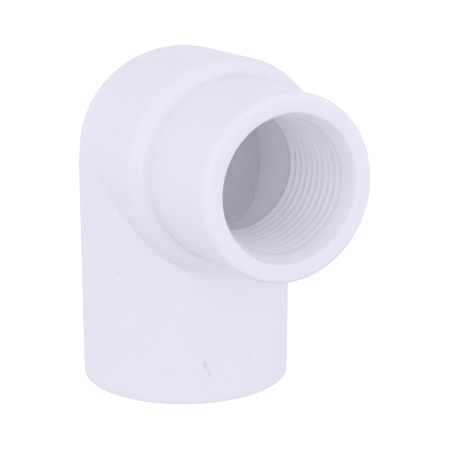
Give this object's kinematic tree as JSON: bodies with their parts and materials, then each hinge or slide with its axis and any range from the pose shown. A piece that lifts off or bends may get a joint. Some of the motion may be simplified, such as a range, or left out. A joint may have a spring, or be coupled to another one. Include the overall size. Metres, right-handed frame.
{
  "type": "pipe elbow",
  "caption": "White PVC reducing elbow at a right angle: slip socket for solvent-welded pipe below, female tapered pipe thread at the side.",
  "frame": {"origin": "bottom centre of the bounding box, in the plane of the socket face", "axes": "+Z along the socket's axis from the socket face up to the bend; +X along the threaded hub's axis, out of its mouth; the fitting is symmetric about the XZ plane, apart from its thread"},
  "size_m": [0.0618, 0.042, 0.0663],
  "materials": {
    "white_pvc": "moulded, soft gloss"
  },
  "bodies": {
    "root": {"elbow_body": "white_pvc"}
  },
  "joints": []
}
